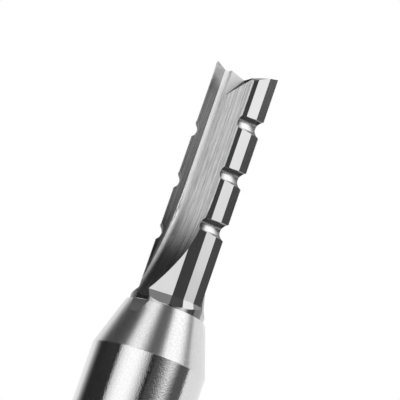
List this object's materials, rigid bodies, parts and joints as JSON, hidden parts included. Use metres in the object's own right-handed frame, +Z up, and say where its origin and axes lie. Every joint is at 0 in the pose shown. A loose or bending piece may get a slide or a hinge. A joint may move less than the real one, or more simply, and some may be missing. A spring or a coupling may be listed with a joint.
{
  "type": "router bit",
  "caption": "Straight fluted router bit: a faceted carbide cutter with chip breakers and a gashed fishtail end, brazed into a round steel shank with a conical nose.",
  "frame": {"origin": "centre of the flat shank end, which is the lowest face", "axes": "+Z up the tool axis from the shank to the cutting tip; +X and +Y are square to it, with one cutting edge close to +Y"},
  "size_m": [0.0126, 0.0126, 0.075],
  "materials": {
    "ground_carbide": "ground tungsten carbide, bright facets with fine grinding lines",
    "ground_steel": "ground tool steel, fine grain around the axis",
    "silver_braze": "thin bright ring of silver brazing alloy"
  },
  "bodies": {
    "root": {"carbide_cutter": "ground_carbide", "steel_shank": "ground_steel", "braze_joint": "silver_braze"}
  },
  "joints": []
}
